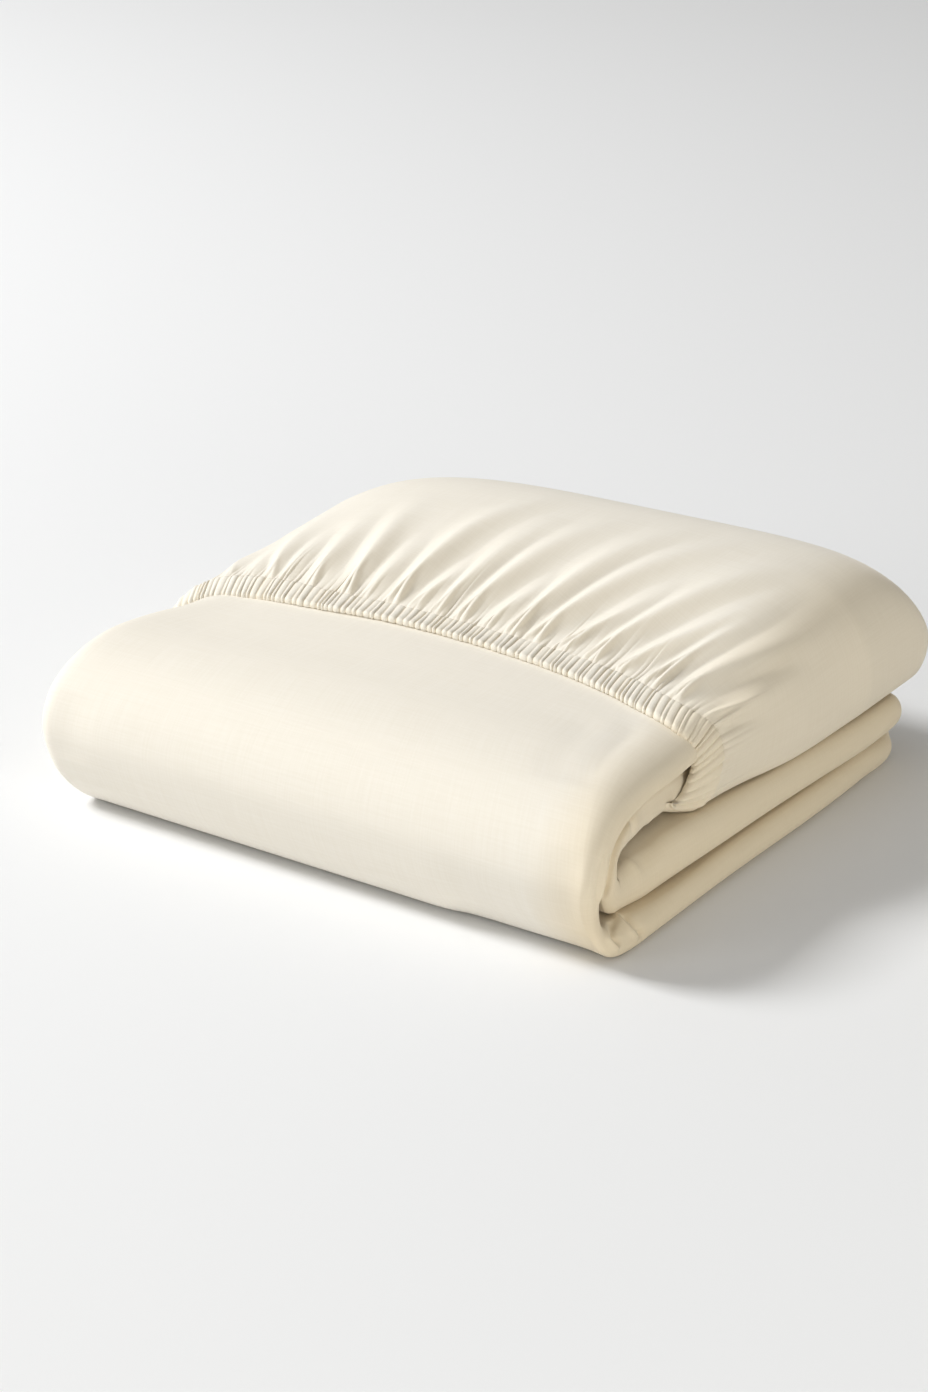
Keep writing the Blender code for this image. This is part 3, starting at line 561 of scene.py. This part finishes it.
# Folds that the gathered mouth throws up. start, middle, far: way round of the crest at the casing,
# 45 mm and 90 mm behind it. height: near the casing. reach: how far back it is nearly lost. legs,
# meet: its first stretch is two legs that meet; how far apart they start, in shares of the way
# round, and about how far back they meet.
Gather = namedtuple("Gather", "start middle far height reach legs meet")
GATHERS = (
    Gather(0.043, 0.041, 0.040, 0.0026, 0.035, 0.000, 0.010),
    Gather(0.077, 0.076, 0.085, 0.0054, 0.075, 0.016, 0.020),
    Gather(0.139, 0.125, 0.110, 0.0064, 0.110, 0.010, 0.014),
    Gather(0.186, 0.172, 0.165, 0.0058, 0.090, 0.018, 0.024),
    Gather(0.243, 0.200, 0.170, 0.0060, 0.090, 0.008, 0.012),
    Gather(0.292, 0.263, 0.230, 0.0068, 0.110, 0.014, 0.015),
    Gather(0.343, 0.304, 0.285, 0.0054, 0.060, 0.012, 0.018),
    Gather(0.388, 0.363, 0.327, 0.0066, 0.115, 0.016, 0.015),
    Gather(0.425, 0.412, 0.390, 0.0064, 0.115, 0.012, 0.018),
    Gather(0.466, 0.443, 0.425, 0.0044, 0.045, 0.006, 0.010),
    Gather(0.508, 0.494, 0.472, 0.0064, 0.105, 0.012, 0.015),
    Gather(0.548, 0.539, 0.530, 0.0058, 0.090, 0.010, 0.014),
    Gather(0.586, 0.560, 0.545, 0.0046, 0.045, 0.008, 0.012),
    Gather(0.618, 0.612, 0.596, 0.0070, 0.115, 0.014, 0.016),
    Gather(0.661, 0.660, 0.664, 0.0040, 0.050, 0.006, 0.010),
    Gather(0.692, 0.707, 0.722, 0.0064, 0.085, 0.010, 0.014),
    Gather(0.752, 0.762, 0.768, 0.0050, 0.065, 0.008, 0.012),
    Gather(0.797, 0.800, 0.805, 0.0040, 0.045, 0.006, 0.010),
    Gather(0.818, 0.838, 0.842, 0.0046, 0.070, 0.006, 0.010),
    Gather(0.850, 0.856, 0.860, 0.0028, 0.035, 0.000, 0.010),
    Gather(0.880, 0.905, 0.915, 0.0032, 0.050, 0.006, 0.010),
)
GATHER_STEP = 0.045         # between the three places of each row above
GATHER_RISE = 0.006         # within which a fold reaches its height behind the casing
PRESSED = 0.82              # share of its height that the seam presses flat
FADE_OUT = 1.35             # where it is quite lost, in its own reaches
FULLNESS = 1.05             # by which all folds stand higher than their rows give
LEFT_FLANK = 0.0125         # shares of the way round in which a fold falls away on its left
RIGHT_FLANK = 0.0145        # and on its right, at the casing
FLANK_SPREAD = 0.14         # by how much both grow for each metre further back
FLANK_BELL = 1.9            # how full its flanks are, 2 being a bell curve
LEG_SPREAD = 0.575          # how far from the crest each leg starts, in shares of legs
LEG_WIDTH = 0.0052          # half the width of one leg, in shares of the way round
LEG_HEIGHT = 0.60           # of a leg against its fold
LEGS_MELT = 1.3             # how far back they are lost in the fold, in shares of meet
HOLLOW = 0.8                # how far the fold itself sinks between them
UNDER_CASING = 0.0015       # how deep its cut edge lies inside the casing

# Fine places round each half of its smooth outside, and from front to back.
HALF_SHARES = np.linspace(0.0, 1.0, 481)
SKIN_PLACES = np.concatenate((np.linspace(POCKET[0].y, HIGHEST, 150)[:-1],
                              HIGHEST + (BACK - HIGHEST) * np.sin(np.linspace(0.0, pi / 2, 90))))


def pocket_outline(y, over):
    """Half of the section at y from one side to the other, over the top or underneath."""
    top, wide, low, fold, right, left, square_right, square_left = smooth(POCKET, y)
    corner = np.clip((y - BACK + BACK_CORNER) / BACK_CORNER, 0.0, 1.0)
    kept = np.sqrt(1.0 - corner**2)
    right, left = right - CORNER_LOSS * (1.0 - kept), left - CORNER_LOSS * (1.0 - kept)
    if over:
        turn = np.linspace(0.0, pi, 961)
        side = np.cos(turn)
        square = np.where(side > 0.0, square_right, square_left)
        across = np.sign(side) * np.abs(side) ** (2.0 / square)
        full = FULL_LEFT + (FULL_RIGHT - FULL_LEFT) * (0.5 + 0.5 * across)
        behind = np.clip((y - HIGHEST) / (BACK - HIGHEST), 0.0, 1.0)
        height = (top - wide) * np.sqrt(1.0 - behind**full)
        x, z = np.where(across > 0.0, right, left) * across, wide + height * np.sin(turn)
    else:
        turn = np.linspace(0.0, pi / 2, 121)
        inward = fold * (1.0 - np.cos(turn))
        x = np.concatenate((inward - left, (right - inward)[::-1]))
        down = wide - (wide - low) * kept * np.sin(turn)
        z = np.concatenate((down, down[::-1]))
    travel = np.concatenate(([0.0], np.cumsum(np.hypot(np.diff(x), np.diff(z)))))
    at = HALF_SHARES * travel[-1]
    return np.stack((np.interp(at, travel, x), np.interp(at, travel, z)), axis=1)


skin = np.array([[pocket_outline(y, over) for y in SKIN_PLACES] for over in (True, False)])
slope = np.gradient(skin, axis=2)
skin = np.concatenate((skin, slope), axis=3)


def on_pocket(share, y, height):
    """Points at a share of the way round the section at y, lifted off it by a height."""
    share = np.mod(share, 2.0)
    half = (share > 1.0).astype(int)
    j = np.where(half == 1, share - 1.0, share) * (len(HALF_SHARES) - 1)
    i = np.interp(y, SKIN_PLACES, np.arange(len(SKIN_PLACES)))
    i0 = np.clip(i.astype(int), 0, len(SKIN_PLACES) - 2)
    j0 = np.clip(j.astype(int), 0, len(HALF_SHARES) - 2)
    s, t = (i - i0)[..., None], (j - j0)[..., None]
    found = ((skin[half, i0, j0] * (1 - t) + skin[half, i0, j0 + 1] * t) * (1 - s)
             + (skin[half, i0 + 1, j0] * (1 - t) + skin[half, i0 + 1, j0 + 1] * t) * s)
    x, z, dx, dz = np.moveaxis(found, -1, 0)
    length = np.maximum(np.hypot(dx, dz), 1e-9)
    lifted = (x + height * dz / length, y + 0.0 * x, z - height * dx / length)
    return np.stack(lifted, axis=-1) - MIDDLE


def gathered(share, back):
    """Height of the folds, back being how far behind the casing the place is."""
    back = np.maximum(back, 0.0)
    total = np.zeros_like(share)
    for row in GATHERS:
        t = back / GATHER_STEP
        bend = (row.far - 2.0 * row.middle + row.start) / 2.0
        centre = row.start + (row.middle - row.start - bend) * t + bend * t**2
        half = np.where(share > centre, LEFT_FLANK, RIGHT_FLANK) + FLANK_SPREAD * back
        fade = 0.5 + 0.5 * np.cos(pi * np.minimum(back / (FADE_OUT * row.reach), 1.0))
        height = row.height * (1.0 - PRESSED * np.exp(-back / GATHER_RISE))
        fold = height * fade * np.exp(-np.abs((share - centre) / half) ** FLANK_BELL)
        melt = LEGS_MELT * row.meet
        apart = LEG_SPREAD * row.legs * np.clip(1.0 - back / melt, 0.0, 1.0)
        legs = np.exp(-((np.abs(share - centre) - apart) / LEG_WIDTH) ** 2)
        first = np.exp(-(back / melt) ** 2) * (row.legs > 0.0)
        fold = fold * (1.0 - HOLLOW * first) + LEG_HEIGHT * height * first * legs
        total = (total**4 + fold**4) ** 0.25
    return FULLNESS * total


# Ruches that the elastic draws the mouth up into, of uneven widths, from the right side over the
# top to the left side. Each is parted from the next by a groove that leans and fades in its own way.
RUCHES = 128
FIRST, LAST = -0.14, 1.05           # places round the mouth where they begin and end
WIDEST, NARROWEST = 1.5, 0.5        # of their usual width
RIGHT_TO_LEFT = 0.92                # below 1, they grow narrower to the left
SWAY = 0.0022                       # most that a groove leans, in shares of the way round
PARTING = 0.20                      # how soon a ruche rises beside a groove, in its own widths
PUFF = 1.2                          # and how round, 1 being sharp and 2 a bell curve
chance = np.random.default_rng(5)
edges = np.concatenate(([0.0], np.cumsum(chance.uniform(NARROWEST, WIDEST, RUCHES))))
edges = (edges / edges[-1]) ** RIGHT_TO_LEFT
faded = np.sin(pi * edges) ** 0.3                           # lean, lost at both ends
edges = FIRST + (LAST - FIRST) * edges
sway = chance.uniform(-SWAY, SWAY, RUCHES + 1)
groove_at_seam = chance.uniform(0.25, 1.0, RUCHES + 1)      # depth of each groove there
groove_at_edge = chance.uniform(0.55, 1.0, RUCHES + 1)      # and at the free edge
puffed = chance.uniform(0.72, 1.08, RUCHES)                 # height of each ruche
run_on = chance.uniform(0.4, 1.9, RUCHES) ** 1.3            # how far each runs on past the seam


def ruche_columns(across, steps):
    """Places round the mouth and heights of the ruches, at a share of the casing's width."""
    t = np.linspace(0.0, 1.0, steps + 1)[:-1]
    borders = edges + sway * (0.5 - across) * faded
    groove = groove_at_edge + (groove_at_seam - groove_at_edge) * across
    near, far = borders[:-1, None], borders[1:, None]
    place = near + (far - near) * t
    dip = (groove[:-1, None] * np.exp(-(t / PARTING) ** PUFF)
           + groove[1:, None] * np.exp(-((1.0 - t) / PARTING) ** PUFF))
    return place.ravel(), (puffed[:, None] * (1.0 - dip)).ravel()


PUCKER_HEIGHT = 0.0015      # of the ruches where they run on into the pocket
PUCKER_REACH = 0.008        # how far back that is
PUCKER_BELL = 1.3           # how they end, 2 being a bell curve
LONGER_RIGHT = 0.9          # by how much further they reach at the right side
LONGER_OVER = 0.06          # and within which share of the way round that is lost
LEDGE = 0.0012              # by which the pocket's cloth lies lower than the casing behind the seam
POCKET_COLUMNS = 8          # to each ruche
POCKET_UNDER = 81           # columns underneath, where there are no ruches
POCKET_ROWS, CLOSER = 64, 1.5   # from the mouth to the highest point, closer together at the mouth
BACK_ROWS = 25              # from there round the back
LAST_TURN = radians(89.4)   # end of that, where top and underside nearly meet in the back fold
TUCKED_RUN = 0.016          # share of the run to the highest point by which its edge is tucked in
POCKET_SHADE = 0.60          # of the painted shade, on its right side and on slopes that face right


def pocket_points():
    """Rows of points from the mouth back over the gathered outside to the back fold."""
    place, ruche = ruche_columns(1.0, POCKET_COLUMNS)
    share = np.concatenate((place, np.linspace(LAST, FIRST + 2.0, POCKET_UNDER)))[None, :]
    ruche = np.concatenate((ruche, np.zeros(POCKET_UNDER)))[None, :]
    mouth = smooth(MOUTH, np.mod(share, 2.0))[..., 0]
    run = np.concatenate(([-TUCKED_RUN], np.linspace(0.0, 1.0, POCKET_ROWS) ** CLOSER))[:, None]
    turn = np.linspace(0.0, LAST_TURN, BACK_ROWS)[1:, None]
    y = np.vstack((mouth + (HIGHEST - mouth) * run,
                   HIGHEST + (BACK - HIGHEST) * np.sin(turn) + 0.0 * mouth))
    share = share + 0.0 * y
    back = np.maximum(y - mouth, 0.0)
    reach = np.concatenate((np.repeat(run_on, POCKET_COLUMNS), np.ones(POCKET_UNDER)))
    reach = PUCKER_REACH * reach * (1.0 + LONGER_RIGHT * np.exp(-(share / LONGER_OVER) ** 2))
    pucker = (PUCKER_HEIGHT * ruche - LEDGE) * np.exp(-(back / reach) ** PUCKER_BELL)
    tucked = np.where(y < mouth, UNDER_CASING, 0.0)
    return on_pocket(share, y, gathered(share, back) + pucker - tucked)


pocket_rows = pocket_points()
# painted shade on slopes that face right, away from the main lamp, as well as on the right side
pocket_side = np.clip(outward(pocket_rows)[:, :, 0], 0.0, 1.0)
pocket_shade = POCKET_SHADE * np.maximum(shaded_side(pocket_rows), pocket_side)
pocket = woven("corner_pocket", pocket_rows, percale, pocket_shade, closed_round=True)
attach(pocket, "root")

# ---------------------------------------------------------------- the elastic casing
# The edge of the sheet, turned over a narrow elastic and topstitched: the elastic draws it up into
# small round ruches that lean a little and are never quite the same.
CASING_WIDTH = 0.0190       # three-quarter-inch elastic casing
CASING_THICK = 0.0027
SEAT_GAP = 0.0003           # from the casing to the line where it is sewn on
CASING_COLUMNS = 10         # to each ruche
CASING_UNDER = 121          # columns underneath
RUCHE_HEIGHT = 0.0017
RUCHE_FOOT = 0.3            # share of that height which lies within the casing's thickness
RUCHE_SLANT = 0.014         # lean of the ruches, in shares of the way round
SLANT_EASE = 1.2            # above 1, they lean more towards the free edge
TUCKED = 0.15               # height of ruches left where the casing lies under the pack
TUCKED_WAVES = 240.0        # their angle there in radians, over half the way round
EDGE_WAVE = 0.0011          # by which the free edge waves in and out with the ruches
EDGE_LEVEL = 0.4            # height of a ruche at which it does neither
EDGE_REACH = 0.2            # how far across the casing that is felt
CASING_SHADE = 0.8           # of the painted shade, on its right side
GROOVE_SHADE, GROOVE_TO = 0.7, 1.25  # painted shade in its grooves, and how soon it is lost up a ruche
DRAWN_EASE = 1.4            # above 1, the depths below are felt more towards the free edge
# How much closer to the pack its free edge lies than the pocket's outside does. share: way round.
Drawn = namedtuple("Drawn", "share depth")
DRAWN = (
    Drawn(0.00, 0.0082),
    Drawn(0.05, 0.0052),
    Drawn(0.10, 0.0016),
    Drawn(0.16, 0.0000),
    Drawn(0.78, 0.0000),
    Drawn(0.86, 0.0030),
    Drawn(0.93, 0.0060),
    Drawn(1.00, 0.0030),
    Drawn(1.08, 0.0000),
    Drawn(1.86, 0.0000),
    Drawn(1.90, 0.0060),
    Drawn(2.00, 0.0082),
)
# Its section from the free edge to the seam and back inside. across: share of its width. rise:
# share of its thickness. ruche: share of the ruches' height.
Rim = namedtuple("Rim", "across rise ruche")
CASING = (
    Rim(0.000, 0.15, 0.30), Rim(0.000, 0.40, 0.52), Rim(0.012, 0.66, 0.74), Rim(0.040, 0.86, 0.92),
    Rim(0.080, 0.96, 1.02), Rim(0.140, 1.00, 1.05), Rim(0.220, 1.00, 1.02), Rim(0.320, 1.00, 0.98),
    Rim(0.420, 1.00, 0.96), Rim(0.520, 1.00, 0.95), Rim(0.620, 1.00, 0.95), Rim(0.720, 1.00, 0.96),
    Rim(0.820, 1.00, 0.98), Rim(0.900, 0.99, 1.00), Rim(0.950, 0.96, 0.96), Rim(0.985, 0.86, 0.84),
    Rim(1.000, 0.66, 0.62), Rim(1.000, 0.30, 0.30), Rim(1.000, 0.00, 0.00), Rim(0.500, 0.00, 0.00),
    Rim(0.000, 0.00, 0.00), Rim(0.000, 0.15, 0.30),
)

ruched = cotton("cream_casing", (0.872, 0.835, 0.757, 1.0), (0.895, 0.862, 0.790, 1.0))


def casing_points():
    """Rows of points round the mouth, one for each place of its section, and its grooves for painted
    shade.
    """
    under = np.linspace(LAST, FIRST + 2.0, CASING_UNDER)
    rows, grooves = [], []
    for row in CASING:
        place, relief = ruche_columns(row.across, CASING_COLUMNS)
        share = np.concatenate((place, under))
        relief = np.concatenate((relief, TUCKED * (0.5 + 0.5 * np.cos(under * TUCKED_WAVES))))
        at = share - RUCHE_SLANT * (1.0 - row.across) ** SLANT_EASE
        swell = EDGE_WAVE * (relief - EDGE_LEVEL) * np.exp(-(row.across / EDGE_REACH) ** 2)
        y = smooth(MOUTH, np.mod(at, 2.0))[..., 0] - SEAT_GAP
        y = y - CASING_WIDTH * (1.0 - row.across) - swell
        drawn = smooth(DRAWN, np.mod(at, 2.0))[..., 0] * (1.0 - row.across) ** DRAWN_EASE
        ruche = RUCHE_HEIGHT * (relief - RUCHE_FOOT) * row.ruche
        rows.append(on_pocket(at, y, ruche - CASING_THICK * (1.0 - row.rise) - drawn))
        # painted shade in the grooves, lost up each ruche
        grooves.append(np.clip(1.0 - GROOVE_TO * relief, 0.0, 1.0))
    return np.array(rows), np.array(grooves)


casing_rows, casing_grooves = casing_points()
# painted shade on the right side and in the grooves between ruches
casing_shade = np.maximum(CASING_SHADE * shaded_side(casing_rows), GROOVE_SHADE * casing_grooves)
casing = woven("ruched_casing", casing_rows, ruched, casing_shade,
               closed_round=True, closed_along=True)
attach(casing, "root")
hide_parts("elastic_casing")
